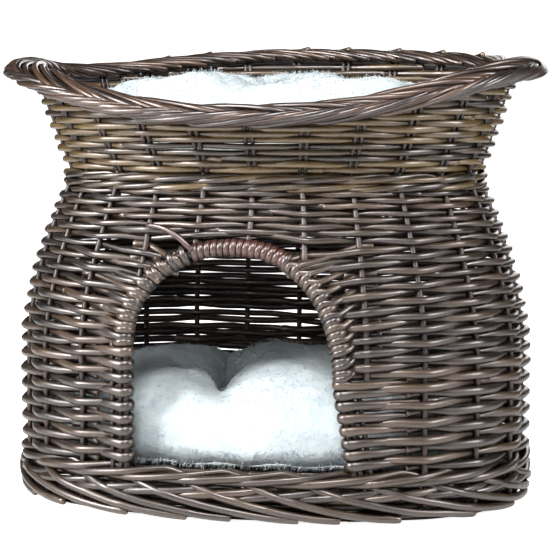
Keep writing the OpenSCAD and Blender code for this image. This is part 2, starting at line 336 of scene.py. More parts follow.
def willow(name, colours, tint, gloss=0.37, coat=0.6, streak=1.25):
    """Stained and varnished willow. colours run from dark to light; tint is a stain in patches."""
    n = Nodes(name)
    colours = [srgb(c) for c in colours]
    grain, tone, cut = n.attribute("grain", "Vector"), n.attribute("tone"), n.attribute("cut")
    fine = n.stretched_noise(grain, (22, 420, 420), 5.0, 0.6)
    broad = n.stretched_noise(grain, (14, 60, 60), 3.0, 0.5)
    spots = n.stretched_noise(grain, (160, 300, 300), 2.0, 0.7)
    shade = n.maths("MULTIPLY_ADD", fine, 0.75 * streak, 0.5 - 0.375 * streak)
    shade = n.maths("ADD", shade, n.maths("MULTIPLY", n.maths("SUBTRACT", tone, 0.5), 0.62))
    drift = n.maths("MULTIPLY", n.maths("SUBTRACT", broad, 0.5), 0.7)
    colour = n.ramp(n.maths("ADD", shade, drift, clamp=True), list(zip(SHADE_STOPS, colours)))
    patch = n.grey(n.maths("ADD", broad, n.maths("MULTIPLY", tone, 0.25)), 0.5, 0.85)
    colour = n.mix(n.maths("MULTIPLY", patch, 0.8), colour, srgb(tint))
    speck = n.grey(spots, 0.66, 0.74)
    colour = n.mix(n.maths("MULTIPLY", speck, 0.45), colour, colours[0])
    colour = n.mix(n.maths("MULTIPLY", cut, 0.85), colour, PITH)
    rough = n.grey(fine, 0.25, 0.8, gloss - 0.08, gloss + 0.2)
    normal = n.bump(n.maths("ADD", fine, n.maths("MULTIPLY", spots, 0.35)), 0.35, 0.0006)
    constants = {"Coat Weight": coat, "Coat Roughness": 0.30, "Specular IOR Level": 1.0}
    constants["Specular Tint"] = (1.0, 0.90, 0.88, 1)
    return n.finish(constants, {"Base Color": colour, "Roughness": rough, "Normal": normal})


BARK = willow("willow_dark", ("0a0705", "17100d", "271c16", "4a3931"), "382d1b")
STAKE = willow(
    "willow_stake", ("0a0705", "170f0c", "271b15", "403028"), "271b14", gloss=0.5, coat=0.3
)
OLIVE = willow("willow_olive", ("0e0a06", "241b0f", "43351f", "736344"), "594826")
RIM = willow("willow_rim", ("0c0908", "1f1712", "35281f", "56463b"), "3f2919")
CANE = willow("cane_binding", ("120a08", "2b1813", "44271e", "64412f"), "3a1e14", streak=0.7)


# ---- Weaving ----

ROD_LENGTHS = ((10, 14), (12, 12), (14, 10))  # bays that the two rods of a round cover


def weave_shape(x):
    """Side of the wall a weaver is on, 1 at x even and -1 at x odd."""
    kinked = 1 - 2 * np.abs(np.mod(x + 1, 2) - 1)
    return 0.7 * kinked + 0.3 * np.cos(np.pi * x)


def row_rods(rng, row):
    """Cuts a round of weaving into two rods that meet behind stakes: first bays and lengths."""
    start = int(rng.integers(0, 12)) * 2 + (row + 1) % 2
    first, second = ROD_LENGTHS[int(rng.integers(0, len(ROD_LENGTHS)))]
    return [(start, first), (start + first, second)]


def smooth_round(values, sigma):
    """Smooths values that go once round the basket, over sigma bays."""
    k = np.fft.rfftfreq(len(values), STEP)
    return np.fft.irfft(np.fft.rfft(values) * np.exp(-2 * (np.pi * k * sigma) ** 2), len(values))


class Rounds:
    """Rounds of weaving stacked between two heights, each as thick as its rods."""

    def __init__(self, seed, low, high, radius_at, packing, nest):
        rng = np.random.default_rng(seed)
        self.nest = nest
        self.cuts, self.radius, stack = [], [], []
        z = low
        while z < high:
            r = radius_at(z)
            cuts = row_rods(rng, len(stack))
            thick = np.zeros(ROUND_POINTS)
            for start, length in cuts:
                i = (round(start / STEP) + np.arange(round(length / STEP))) % ROUND_POINTS
                thick[i] = r * np.linspace(1.13, 0.86, len(i)) * rng.uniform(0.94, 1.06)
            self.cuts.append(cuts)
            self.radius.append(thick)
            stack.append(smooth_round(thick, 0.8) * 2)
            z += 2 * r * packing
        self.settle = [rng.uniform(0.5, 1.5) for _ in range(len(stack) // 2 + 1)]
        stack = np.array(stack)
        self.z = low + (np.cumsum(stack, 0) - stack / 2) / stack.sum(0) * (high - low)

    def height(self, row, u):
        """Heights of a row at bays u. Rows lie in pairs that settle together at the stakes."""
        i = np.round(u / STEP).astype(int) % ROUND_POINTS
        side = 1 if row % 2 == 0 else -1
        close = np.cos(np.pi * u) ** 2
        return self.z[row][i] + side * self.nest * self.settle[row // 2] * close


def weave_rod(rods, place, rounds, row, u, phase, amplitude, dip=0.0, tuck=0.0):
    """One weaver of a row through bays u, with its phase of in and out, its dip and its tuck."""
    n = len(u)
    i = np.round(u / STEP).astype(int) % ROUND_POINTS
    radius = rods.taper(n, rounds.radius[row][i[0]], rounds.radius[row][i[-1]])
    z = rounds.height(row, u) + rods.wobble(n, 0.00035) + dip
    swing = amplitude * (1 + rods.rng.normal(0, 0.05))
    out = swing * weave_shape(phase) + rods.wobble(n, 0.0003)
    rods.add(place(u, out - tuck, z), radius, flat=0.84)


def bays(start, end):
    """Bay numbers from start to end, on the rows' grid."""
    return np.arange(round(start / STEP), round(end / STEP) + 1) * STEP


def tucked(u, reach):
    """What the first bays of a rod are drawn in by, within reach of its end."""
    return TUCK * (np.abs(u - u[0]) < reach)


# ---- Door outline ----

STAKE_FOOT_Z = 0.006
NEAREST = 0.3  # bays between the door's edge and the first stake that counts as beside it
STAKE_OVER = 0.004  # how far below a row a stake's foot has to be to hold it
# Feet of the stakes that stand on the door's hoop, by stake number
DOOR_STAKES = {0: 0.2555, 1: 0.231, 2: 0.128, STAKES - 1: 0.250, STAKES - 2: 0.212}


def spring_z(side):
    return LEFT_SPRING_Z if side < 0 else RIGHT_SPRING_Z


def door_edge(z, side, grow=0.0):
    """x of the middle of the post or hoop at height z, left for side -1 and right for 1."""
    spring = spring_z(side)
    if z <= spring:
        if side < 0:
            return -DOOR_LEFT - grow
        h = (z - POST_FOOT_Z) / (RIGHT_SPRING_Z - POST_FOOT_Z)
        return DOOR_RIGHT + RIGHT_SPLAY * (1 - h) + grow
    reach = DOOR_LEFT + CROWN_X if side < 0 else DOOR_RIGHT - CROWN_X
    sine = min(1.0, (z - spring) / (CROWN_Z - spring + grow))
    return CROWN_X + side * (reach + grow) * (1 - sine**ARCH_POWER) ** (1 / ARCH_POWER)


def stake_low_z(i):
    return DOOR_STAKES.get(i, STAKE_FOOT_Z)


def next_stake(u, z, side):
    """The first stake away from the door that is there at height z."""
    i = math.ceil(u + NEAREST) if side > 0 else math.floor(u - NEAREST)
    while stake_low_z(i % STAKES) > z - STAKE_OVER:
        i += side
    return i


# ---- The cave's wall ----

CLEAR_Z = 0.2585  # rows above this height pass over the hoop
OVER_Z = 0.2648  # the lowest that a row lies over its crown
CROWN_U = bay_at_x(CROWN_X, CROWN_Z)
FLAT_TOP_Z, FLAT_TOP_GROW = 0.247, 0.0115  # above this height rows end clear of the binding
SHORTEST = 1.2  # bays


def row_sink(above, deep, over, away):
    """What a row dips by at the arch: it grows above the spring and fades away from the edge."""
    return deep * min(1.0, max(above, 0) / over) * np.exp(-np.maximum(away, 0) / 1.2)


def row_over_door(rods, rounds, row, amplitude):
    """A row of the cave's wall that passes over the arch, pushed up by its crown."""
    for start, length in rounds.cuts[row]:
        u = bays(start - PAST, start + length + PAST)
        from_crown = np.abs((u - CROWN_U + STAKES / 2) % STAKES - STAKES / 2)
        pushed = np.maximum(OVER_Z - rounds.height(row, u), 0)
        dip = pushed * np.exp(-((from_crown / 1.1) ** 4))
        weave_rod(rods, on_cave, rounds, row, u, u + row, amplitude, dip, tucked(u, 0.7))


def row_beside_door(rods, rounds, row, amplitude, front):
    """A row of the cave's wall that the door interrupts, at height front on the front."""
    grow = FLAT_TOP_GROW if front > FLAT_TOP_Z else 0.0
    right = bay_at_x(door_edge(front, 1, grow), front)
    left = bay_at_x(door_edge(front, -1, grow), front)
    s_right, s_left = next_stake(right, front, 1), next_stake(left, front, -1)
    # A rod that would end outside a post is one of the turns round it, made apart
    turned_right = (s_right + row) % 2 == 1 and grow == 0.0
    turned_left = (s_left + row) % 2 == 1 and grow == 0.0 and front < LEFT_SPRING_Z
    begin = s_right - SHORT_PAST if turned_right else right
    end = s_left + SHORT_PAST if turned_left else left
    for start, length in rounds.cuts[row]:
        for turn in (-STAKES, 0, STAKES):
            a = max(start + turn - PAST, begin)
            b = min(start + length + turn + PAST, end)
            if b - a < SHORTEST:
                continue
            u = bays(a, b)
            phase = u + row
            # Between its last stake and the door's edge a rod makes one whole bay's swing
            if not turned_right:
                stretched = s_right - (s_right - u) / (s_right - right) + row
                phase = np.where(u < s_right, stretched, phase)
            if not turned_left:
                stretched = s_left + (u - s_left) / (left - s_left) + row
                phase = np.where(u > s_left, stretched, phase)
            dip = -row_sink(front - RIGHT_SPRING_Z, 0.013, 0.07, u - right)
            dip -= row_sink(front - LEFT_SPRING_Z, 0.015, 0.05, left - u)
            weave_rod(rods, on_cave, rounds, row, u, phase, amplitude, dip)


def cave_rows(rods, rounds, low, high):
    """The cave wall's rows whose mean height is from low to high."""
    for row, heights in enumerate(rounds.z):
        z, front = float(heights.mean()), float(heights[0])
        if low <= z < high:
            amplitude = float(np.interp(z, [0.05, 0.2, 0.29], [0.0058, 0.0055, 0.0046]))
            if front > CLEAR_Z:
                row_over_door(rods, rounds, row, amplitude)
            else:
                row_beside_door(rods, rounds, row, amplitude, front)


def radius_cave(z):
    return float(np.interp(z, [0.05, 0.12, 0.20, 0.30], [0.0047, 0.0043, 0.0038, 0.0030]))


cave_rounds = Rounds(11, BASE_TOP_Z - 0.0040, WAIST_Z + 0.0015, radius_cave, 0.90, 0.0010)
lower_weave = Rods(21)
cave_rows(lower_weave, cave_rounds, 0, LEFT_SPRING_Z)
lower_weave.build("cave_randing", BARK, "willow_dark", "cave_weave")


# ---- Posts, hoop and the turns round them ----


def hoop_line(steps=160):
    """Middle line of the hoop, from its left spring over the crown to its right one."""
    q = np.linspace(0, np.pi / 2, steps)
    reach, rise = np.cos(q) ** (2 / ARCH_POWER), np.sin(q) ** (2 / ARCH_POWER)
    left, right = (
        np.stack([CROWN_X + (x - CROWN_X) * reach, z + (CROWN_Z - z) * rise], -1)
        for x, z in ((-DOOR_LEFT, LEFT_SPRING_Z), (DOOR_RIGHT, RIGHT_SPRING_Z))
    )
    return on_front(np.vstack([left, right[-2::-1]]))


def post_line(side, steps=60):
    """Middle line of a post from its foot to its spring."""
    heights = np.linspace(POST_FOOT_Z, spring_z(side), steps)
    return on_front([[door_edge(z, side), z] for z in heights])


class Line:
    """A line in the cave's wall that answers with its point and directions at a length along it."""

    HALF, DEEP = 0.245, 0.160  # half width and half depth of the wall that its outside faces from

    def __init__(self, points):
        self.points = points
        self.run = run_along(points)
        self.length = float(self.run[-1])
        self.tangents = unit(np.gradient(points, axis=0))

    def interpolated(self, values, s):
        return np.stack([np.interp(s, self.run, values[:, k]) for k in range(3)], -1)

    def at(self, s):
        """The point at length s, and the directions along the line, across it and out of the wall."""
        point, along = self.interpolated(self.points, s), unit(self.interpolated(self.tangents, s))
        x, y = point[..., 0], point[..., 1]
        facing_x = np.sign(x) * np.abs(x) ** (POWER - 1) / self.HALF**POWER
        facing_y = np.sign(y) * np.abs(y) ** (POWER - 1) / self.DEEP**POWER
        facing = unit(np.stack([facing_x, facing_y, np.zeros_like(x)], -1))
        out = unit(facing - along * (facing * along).sum(-1, keepdims=True))
        return point, along, np.cross(along, out), out


# The cane binding lies on the crown, from partway up the left flank to partway down the right
CANE_START, CANE_END = 0.117, 0.205
HOOP_ROD = 0.0054  # radius
TURNS_PER_ROD = 7
hoop = Line(hoop_line())
hoop_rod = Rods(31)
hoop_rod.add(hoop.at(np.linspace(0, hoop.length, 60))[0], HOOP_ROD, 0.4)
hoop_rod.build("arch_hoop_rod", STAKE, "willow_stake", "door_arch_hoop")


def wind(rods, line, start, end, pitch, core, radius, flat):
    """A close helix of rod round a line, cut into lengths of a few turns."""
    turns = (end - start) / pitch
    done = 0.0
    while done < turns - 0.01:
        last = min(turns, done + TURNS_PER_ROD)
        k = np.linspace(done, last, max(8, round((last - done) * 18)))
        point, along, across, out = line.at(start + k * pitch)
        a = 2 * np.pi * k
        ring = np.cos(a)[:, None] * across + np.sin(a)[:, None] * out
        grow = core + radius * flat + rods.wobble(len(k), 0.00022, 18)
        tone = rods.rng.uniform(0.2, 1)
        thick = radius * (1 + 0.05 * rods.wobble(len(k), 1, 12))
        rods.add(point + ring * grow[:, None], thick, tone, up=along, flat=flat)
        done = last


binding = Rods(32, 10)
wind(binding, hoop, CANE_START, CANE_END, 0.0061, HOOP_ROD, 0.0031, 0.5)
binding.build("arch_cane_binding", CANE, "cane_binding", "door_arch_binding")


def turn_round(rods, line, s, side, drop, radius, half, deep, rise, tail=True):
    """A weaver's turn round a post or the hoop: a tail out of the wall, a bead, and an end inside.

    The tail starts drop higher than the bead. half and deep are the bead's reach across the post
    and through the wall, and rise is how far it climbs."""
    point, along, across, out = line.at(np.array(s))
    away = across if across[0] * side > 0 else -across
    swing = np.radians(np.linspace(90 if tail else -30, 318, 16 if tail else 22))
    climb = along * np.linspace(-0.5, 0.5, len(swing))[:, None] * rise
    path = point + half * np.cos(swing)[:, None] * away + deep * np.sin(swing)[:, None] * out
    path = path + climb
    thick = np.full(len(swing), radius)
    flats = np.full(len(swing), 0.6)
    if tail:
        z = float(point[2])
        edge = bay_at_x(float(point[0]), z)
        stake = next_stake(edge, z, side)
        reach = np.linspace(stake + 0.25 * side, edge + 0.14 * side, 12)
        share = (reach - stake) / (edge - stake)
        wave = -np.cos(np.pi * np.clip(share, -0.3, 1))
        lift = drop * (1 - np.clip(share, 0, 1)) ** 1.2
        arm = on_cave(reach, np.where(wave > 0, deep * wave, 0.0046 * wave), z + lift)
        path = np.vstack([arm, path])
        thick = np.concatenate([np.linspace(0.0036, radius * 0.86, 12), thick])
        flats = np.concatenate([np.linspace(0.84, 0.66, 12), flats])
    rods.add(path, thick * (1 + rods.rng.normal(0, 0.03)), up=along, flat=flats)


wraps = Rods(33, 10)
posts = {side: Line(post_line(side)) for side in (-1, 1)}
for side, pitch in ((-1, 0.0122), (1, 0.0112)):
    line = posts[side]
    s = BASE_TOP_Z + 0.006 - POST_FOOT_Z
    while s < line.length + 0.004:
        drop = wraps.rng.normal(0.001, 0.0015)
        turn_round(
            wraps, line, min(s, line.length), side, drop,
            radius=0.0049, half=0.0078, deep=0.0062, rise=0.002,
        )
        s += pitch * wraps.rng.uniform(0.9, 1.12)
# Both flanks of the arch: turns in pairs, one of each with a tail that comes in from above
for side, first, last, drop in (
    (1, CANE_END + 0.003, hoop.length - 0.002, 0.017),
    (-1, 0.002, CANE_START - 0.003, 0.011),
):
    s, odd = first, False
    while s < last:
        turn_round(
            wraps, hoop, s, side, drop,
            radius=0.0034, half=0.0082, deep=0.0080, rise=0.003, tail=odd,
        )
        s += 0.0058 * wraps.rng.uniform(0.90, 1.12)
        odd = not odd
# One more turn where the right post becomes the arch
turn_round(
    wraps, hoop, hoop.length - 0.0012, 1, 0.0020,
    radius=0.0046, half=0.0080, deep=0.0064, rise=0.002,
)
wraps.build("door_edge_turns", BARK, "willow_dark", "door_post_wraps")

POST_ROD = 0.0027  # radius
for side, name in ((-1, "door_post_left"), (1, "door_post_right")):
    rods = Rods(34 + side)
    line = posts[side]
    point, _, across, out = line.at(np.linspace(0, line.length, 20))
    away = across * np.sign(across[:, :1]) * side
    for shift in (-0.0024, 0.0030):
        rods.add(point + away * shift, POST_ROD, 0.6, up=out)
    # A third rod stands free, a little way into the wall
    rods.add(point + away * 0.0125 + out * -0.001, POST_ROD, 0.75, up=out)
    rods.build(name + "_rods", STAKE, "willow_stake", name)

# A thick reddish rod comes down over the left shoulder of the arch, where the binding starts
starter = Rods(36, 10)
k = np.linspace(0, 1, 14)
high_x, high_z = -0.098, 0.272
edge_x, _, edge_z = hoop.at(np.array(CANE_START - 0.001))[0]
line_x = high_x + (edge_x - high_x) * k
line_z = high_z + (edge_z + 0.004 - high_z) * k + 0.006 * np.sin(np.pi * k)
path = on_front(np.stack([line_x, line_z], -1))
path[:, 1] -= WALL_MID + 0.004 * np.sin(np.pi * k * 0.9)
starter.add(path, np.linspace(0.0024, 0.0030, 14), 0.4, flat=0.8)
starter.build("arch_binding_start", CANE, "cane_binding")

upper_weave = Rods(22)
cave_rows(upper_weave, cave_rounds, LEFT_SPRING_Z, 1)
upper_weave.build("shoulder_randing", BARK, "willow_dark", "shoulder_weave")

# ---- Stakes ----

stakes = Rods(41)
for i in range(STAKES):
    n = 40
    z = np.linspace(stake_low_z(i), WAIST_TOP_Z, n)
    u = i + stakes.wobble(n, 0.012, 12)
    radius = stakes.taper(n, 0.0030, 0.0025, 4)
    path = on_cave(u, stakes.wobble(n, 0.0003, 10), z)
    stakes.add(path, radius, stakes.rng.uniform(0.5, 1), up=(0, 1, 0.01))
stakes.build("cave_stake_rods", STAKE, "willow_stake", "cave_stakes")

bed_stakes = Rods(42)
for i in range(STAKES):
    top = float(rim_z(angle(i))) - RIM_H + 0.010
    for apart in (-0.055, 0.055):
        n = 16
        z = np.linspace(WAIST_Z + 0.008, top, n)
        u = i + apart + bed_stakes.wobble(n, 0.008, 8)
        radius = bed_stakes.taper(n, 0.0021, 0.0019, 1)
        path = on_bed(u, np.zeros(n), z)
        bed_stakes.add(path, radius, bed_stakes.rng.uniform(0, 0.5), up=(0, 1, 0.01))
bed_stakes.build("bed_stake_rods", STAKE, "willow_stake", "bed_stakes")

# ---- Bed wall ----


def bed_rows(rods, rounds):
    """Level rows of the bed wall, each cut where the rim's underside comes down to it."""
    for row, cuts in enumerate(rounds.cuts):
        for start, length in cuts:
            u = bays(start - PAST, start + length + PAST)
            there = rounds.height(row, u) < rim_z(angle(u)) - RIM_H + 0.006
            for run in np.split(np.arange(len(u)), np.flatnonzero(np.diff(there)) + 1):
                if there[run[0]] and len(run) > 8:
                    weave_rod(rods, on_bed, rounds, row, u[run], u[run] + row, 0.0040)


bed_rounds = Rounds(12, WAIST_TOP_Z + 0.001, 0.428, lambda z: 0.0033, 0.86, 0.0)
bed_wall = Rods(23)
bed_rows(bed_wall, bed_rounds)
bed_wall.build("bed_randing", OLIVE, "willow_olive", "bed_weave")

# ---- Walings ----


def waling(rods, place, heights, radius, amplitude, rise):
    """Rounds of three-rod waling: each rod climbs outside two stakes and falls inside the third."""
    leave, enter = 0.12, 0.88  # shares of a rod's three bays between which it is outside
    for z0 in heights:
        for c in range(3):
            first = c + int(rods.rng.integers(0, 8)) * 3
            for start in (first, first + 12):
                u = bays(start - SHORT_PAST, start + 12 + SHORT_PAST)
                turn = np.mod((u - c) / 3, 1)
                wave = 0.3 - np.cos(2 * np.pi * turn) + 0.08 * np.cos(6 * np.pi * turn)
                fall = np.where(turn < 0.5, 0.5 - turn / 0.24, 1 - (turn - enter) / 0.24)
                outside = (turn > leave) & (turn < enter)
                climb = np.where(outside, (turn - leave) / 0.76, fall)
                z = z0 + rise * (climb - 0.5) + rods.wobble(len(u), 0.0004)
                thick = rods.taper(len(u), radius * 1.1, radius * 0.88)
                rods.add(place(u, amplitude * wave - tucked(u, 0.6), z), thick, flat=0.85)


base_wale = Rods(51)
waling(base_wale, on_cave, (0.0262, 0.0400), radius=0.0039, amplitude=0.0062, rise=0.0120)
base_wale.build("base_waling_rods", BARK, "willow_dark", "base_waling")
waist_wale = Rods(52)
waling(waist_wale, on_waist, (0.3070, 0.3150), radius=0.0031, amplitude=0.0052, rise=0.0072)
waist_wale.build("waist_waling_rods", OLIVE, "willow_olive", "waist_waling")

# ---- Foot border ----

foot = Rods(53)
for i in range(STAKES):
    n = 40
    span = foot.rng.uniform(2.6, 3.1)
    k = np.linspace(0, 1, n)
    u = i - 0.06 + k * span
    radius = foot.taper(n, 0.0041, 0.0036)
    # Each rod comes down behind the waling, bends along the wall, and ends flat on the ground
    z = radius + 0.0004 + 0.0290 * (1 - k) ** 1.7 + 0.0030 * (1 - k) + foot.wobble(n, 0.0003)
    out = -0.003 + 0.0125 * np.minimum(k / 0.22, 1) ** 0.7 - 0.0045 * k
    path = on_cave(u, out, np.maximum(z, radius + 0.0003))
    foot.add(path, radius, foot.rng.uniform(0.1, 0.9))
# Three rounds lie inside them, two on the ground and one on top, each of two rods
for k, (out, z) in enumerate(((-0.0125, 0.0046), (-0.0050, 0.0044), (-0.0105, 0.0130))):
    for start in (2 * k, 2 * k + 12):
        u = bays(start - SHORT_PAST, start + 12 + SHORT_PAST)
        radius = foot.taper(len(u), 0.0042, 0.0036)
        path = on_cave(u, np.full(len(u), out), z + np.abs(foot.wobble(len(u), 0.0003)))
        foot.add(path, radius, 0.2)
foot.build("foot_border_rods", BARK, "willow_dark", "foot_border")

# ---- Rim border ----


def rim_points(t, out, up):
    """Points out from the bed's top edge, and up from the rim's underside."""
    return np.concatenate([oval(BED_TOP_A + out, t), (rim_z(t) - RIM_H + up)[:, None]], -1)


def rim_path(u, turn, lift):
    """Points of the plaited rim: turn is the angle round its section, 0 outside and 90 on top."""
    t = angle(u)
    a = np.radians(turn)
    out = 0.006 + 0.0172 * np.cos(a) + lift * np.cos(a)
    up = 0.0120 + 0.0066 * np.sin(a) + lift * np.sin(a)
    return rim_points(t, out, up)


def rim_normals(u, turn):
    return unit(rim_path(u, turn, 0.002) - rim_path(u, turn, 0.0))


plait = Rods(54)
# Two families of rods cross on the rim's face. Each runs from start to end round the section,
# over a number of bays, and dives under the other from dive on
FAMILIES = (
    {"start": -82, "end": 50, "bays": 2.2, "lead": 0.0, "size": 0.0030, "dive": 0.66},
    {"start": 172, "end": -2, "bays": 2.7, "lead": 0.45, "size": 0.0028, "dive": 0.72},
)
for i in range(STAKES):
    for family in FAMILIES:
        start, end, size, dive = (family[key] for key in ("start", "end", "size", "dive"))
        shift, tilt = plait.rng.normal(0, 0.05), plait.rng.normal(0, 5)
        for j in range(3):
            n = 30
            k = np.linspace(0, 1, n)
            span = family["bays"] * plait.rng.uniform(0.95, 1.05)
            lead = i + family["lead"] + shift + j * 0.29
            u = lead + k * span + plait.wobble(n, 0.006, 10)
            turn = start + (end - start) * k + tilt * np.sin(np.pi * k)
            lift = 0.0026 - 0.0010 * j - 0.0055 * np.clip((k - dive) / (1 - dive), 0, 1)
            lift = lift - 0.004 * np.clip(0.12 - k, 0, 1) / 0.12
            radius = plait.taper(n, size * 1.06, size * 0.9, 1) * plait.rng.uniform(0.88, 1.12)
            plait.add(rim_path(u, turn, lift), radius, up=rim_normals(u, turn))
# A few ends stand up out of the back of the rim
for place in (8.2, 9.1, 10.0, 11.0, 11.8, 13.7, 14.5):
    k = np.linspace(0, 1, 12)
    path = rim_path(place + 0.55 * (1 - k), 50 + 40 * k, 0.0004 + 0.0040 * k**2)
    plait.add(path, plait.taper(12, 0.0029, 0.0028, 0), 0.3)
plait.build("rim_plait_rods", RIM, "willow_rim", "rim_border_plait")

rim_core = Rods(55)
once_round = bays(0, STAKES)
for out, up in ((0.000, 0.009), (0.006, 0.014), (0.012, 0.010), (0.005, 0.006), (-0.004, 0.013)):
    rim_core.add(rim_points(angle(once_round), out, up), 0.0036, 0.3)
rim_core.build("rim_core_rods", STAKE, "willow_stake", "rim_border_core")

# ---- Floors ----

FLOOR_PITCH, FLOOR_ROD = 0.0053, 0.0026  # from ring to ring, and their rods' radius


def woven_floor(rods, a, z):
    """A floor of rings of willow that pass over and under its sticks."""
    ring, row = a - FLOOR_ROD, 0
    u = once_round[::2]
    while ring > SIDE_IN + 0.012:
        lift = 0.0011 * np.cos(np.pi * u + np.pi * row)
        path = on_oval(u, ring, np.zeros(len(u)), z + lift)
        rods.add(path, rods.taper(len(u), FLOOR_ROD, FLOOR_ROD * 0.92), flat=1.1, cut=0)
        ring -= FLOOR_PITCH
        row += 1
    # The middle is filled with straight lengths beside the spine
    for y in np.arange(SIDE_IN - ring, ring - SIDE_IN + 1e-6, FLOOR_PITCH):
        x = np.linspace(0.002 - ring, ring - 0.002, 40)
        path = np.stack([x, 0 * x + y, z + 0.0008 * np.cos(x * 110)], -1)
        rods.add(path, FLOOR_ROD, flat=1.1)


def floor_sticks(rods, a, z, long_gap, short_gap):
    """Long sticks, and short ones pushed through between them."""
    b = a - SIDE_IN
    for i in range(-1, 2):
        half = a * (1 - (abs(i) * long_gap / b) ** POWER) ** (1 / POWER)
        x = np.linspace(-half, half, 40)
        path = np.stack([x, np.full(40, i * long_gap), z + rods.wobble(40, 0.0002)], -1)
        rods.add(path, rods.taper(40, 0.0030, 0.0027))
    for i in range(-3, 4):
        half = b * (1 - (abs(i) * short_gap / a) ** POWER) ** (1 / POWER)
        y = np.linspace(-half, half, 30)
        path = np.stack([i * short_gap + rods.wobble(30, 0.0004), y, np.full(30, z)], -1)
        rods.add(path, rods.taper(30, 0.0029, 0.0026))


floor_rings, bed_floor_rings = Rods(61, 6), Rods(62, 6)
woven_floor(floor_rings, 0.238, FLOOR_Z + 0.003)
floor_rings.build("floor_rings", BARK, "willow_dark", "floor_weave")
woven_floor(bed_floor_rings, 0.192, BED_FLOOR_Z + 0.003)
bed_floor_rings.build("bed_floor_rings", OLIVE, "willow_olive", "bed_floor_weave")
sticks, bed_sticks = Rods(63), Rods(64)
floor_sticks(sticks, 0.240, FLOOR_Z - 0.003, 0.040, 0.055)
sticks.build("floor_stick_rods", STAKE, "willow_stake", "floor_sticks")
floor_sticks(bed_sticks, 0.188, BED_FLOOR_Z - 0.003, 0.034, 0.048)
bed_sticks.build("bed_floor_stick_rods", STAKE, "willow_stake", "bed_floor_sticks")

# ---- Cushions ----


def plush_material(name, colour, shade, sheen=0.1):
    """Short white pile. A darker shade colour is painted in as shade where its bump is low, and in
    small flecks.
    """
    n = Nodes(name)
    place = n.position()
    colour, shade = srgb(colour), srgb(shade)
    clumps = n.noise(place, 55.0, 4.0, 0.6)
    pile = n.noise(place, 900.0, 3.0, 0.7)
    fleck = n.noise(place, 240.0, 3.0, 0.65)
    # Painted shade: the darker shade colour fills where the clumps, and so the bump, are low; a little
    # of it also goes into flecks
    base = n.mix(n.grey(clumps, 0.3, 0.75), shade, colour)
    base = n.mix(n.maths("MULTIPLY", n.grey(fleck, 0.5, 0.8), 0.3), base, shade)
    height = n.maths("ADD", fleck, n.maths("MULTIPLY", clumps, 1.5))
    height = n.maths("ADD", n.maths("MULTIPLY", pile, 0.4), height)
    normal = n.bump(height, 0.55, 0.002)
    rough = n.grey(pile, 0.2, 0.8, 0.75, 0.98)
    constants = {"Sheen Weight": sheen, "Sheen Roughness": 0.5, "Specular IOR Level": 0.15}
    return n.finish(constants, {"Base Color": base, "Roughness": rough, "Normal": normal})


# The second colour of each is painted shade, laid into the low places of its pile
PLUSH = plush_material("white_plush", "bac1c1", "a4aeb4", sheen=0.2)
LINING = plush_material("cushion_lining", "e6eaea", "d3d9da")
FILLING = plush_material("polyester_filling", "f4f4f0", "e2e2dc")
THREAD = plush_material("stitch_thread", "f0f2f2", "d8dcdd")

AROUND, TOP_RINGS, BELLY_RINGS = 132, 50, 26
CROWN_POINTS = 1 + TOP_RINGS * AROUND  # points from the crown's middle to the seam
CROWN_FACES = TOP_RINGS * AROUND
SEAM_RING = np.arange(CROWN_POINTS - AROUND, CROWN_POINTS)
SWELL_FRAMES, SWELL_PRESSURE, SPARE_CLOTH = 20, 4.0, 0.10
COVER, FILL_IN = 0.0022, 0.0034  # thickness of the covers, and how far inside them the filling is
LOOSE_FIT = 0.0005  # how far the pile stays above the floor
STITCH_REACH, STITCH_ROD = 0.006, 0.0007


def dented(x, y, z, dents, share=1.0):
    """Heights z pressed down by the dents at x and y, in full where share is 1."""
    for dent_x, dent_y, wide, long, deep, lean in dents:
        dx, dy = x - dent_x - lean * (y - dent_y), y - dent_y
        z = z - deep * np.exp(-np.abs(dx / wide) ** 1.35) * np.exp(-((dy / long) ** 2)) * share
    return z


def cushion_shape(half, seam, up, down, dents):
    """Points of a closed cushion: rings from the crown's middle to the seam and on to the belly's."""
    t = np.linspace(-np.pi / 2, 1.5 * np.pi, AROUND, endpoint=False)
    plan = oval(1.0, t) * np.array([half, (half - SIDE_IN) / (1 - SIDE_IN)])
    points = [[[0, 0, dented(0, 0, seam + up, dents)]]]
    for share in np.linspace(0, 1, TOP_RINGS + 1)[1:]:
        s = 1 - (1 - share) ** 1.25
        x, y = (s * plan).T
        z = np.full(AROUND, seam + up * (1 - s**4) ** 0.5)
        points.append(np.column_stack([x, y, dented(x, y, z, dents, 1 - s**4)]))
    for s in np.linspace(0, 1, BELLY_RINGS + 1)[-2:0:-1]:
        z = np.full(AROUND, seam - down * (1 - s**5) ** 0.4)
        points.append(np.column_stack([s * plan, z]))
    points.append([[0, 0, seam - down]])
    return np.vstack(points)


def cushion_faces():
    """Faces of a closed cushion, the crown's first."""
    rings = TOP_RINGS + BELLY_RINGS - 1
    turn = [(j, (j + 1) % AROUND) for j in range(AROUND)]
    faces = [(0, 1 + j, 1 + k) for j, k in turn]
    for a in range(1, 1 + (rings - 1) * AROUND, AROUND):
        b = a + AROUND
        faces += [(a + j, b + j, b + k, a + k) for j, k in turn]
    last = 1 + (rings - 1) * AROUND
    return faces + [(last + j, last + AROUND, last + k) for j, k in turn]


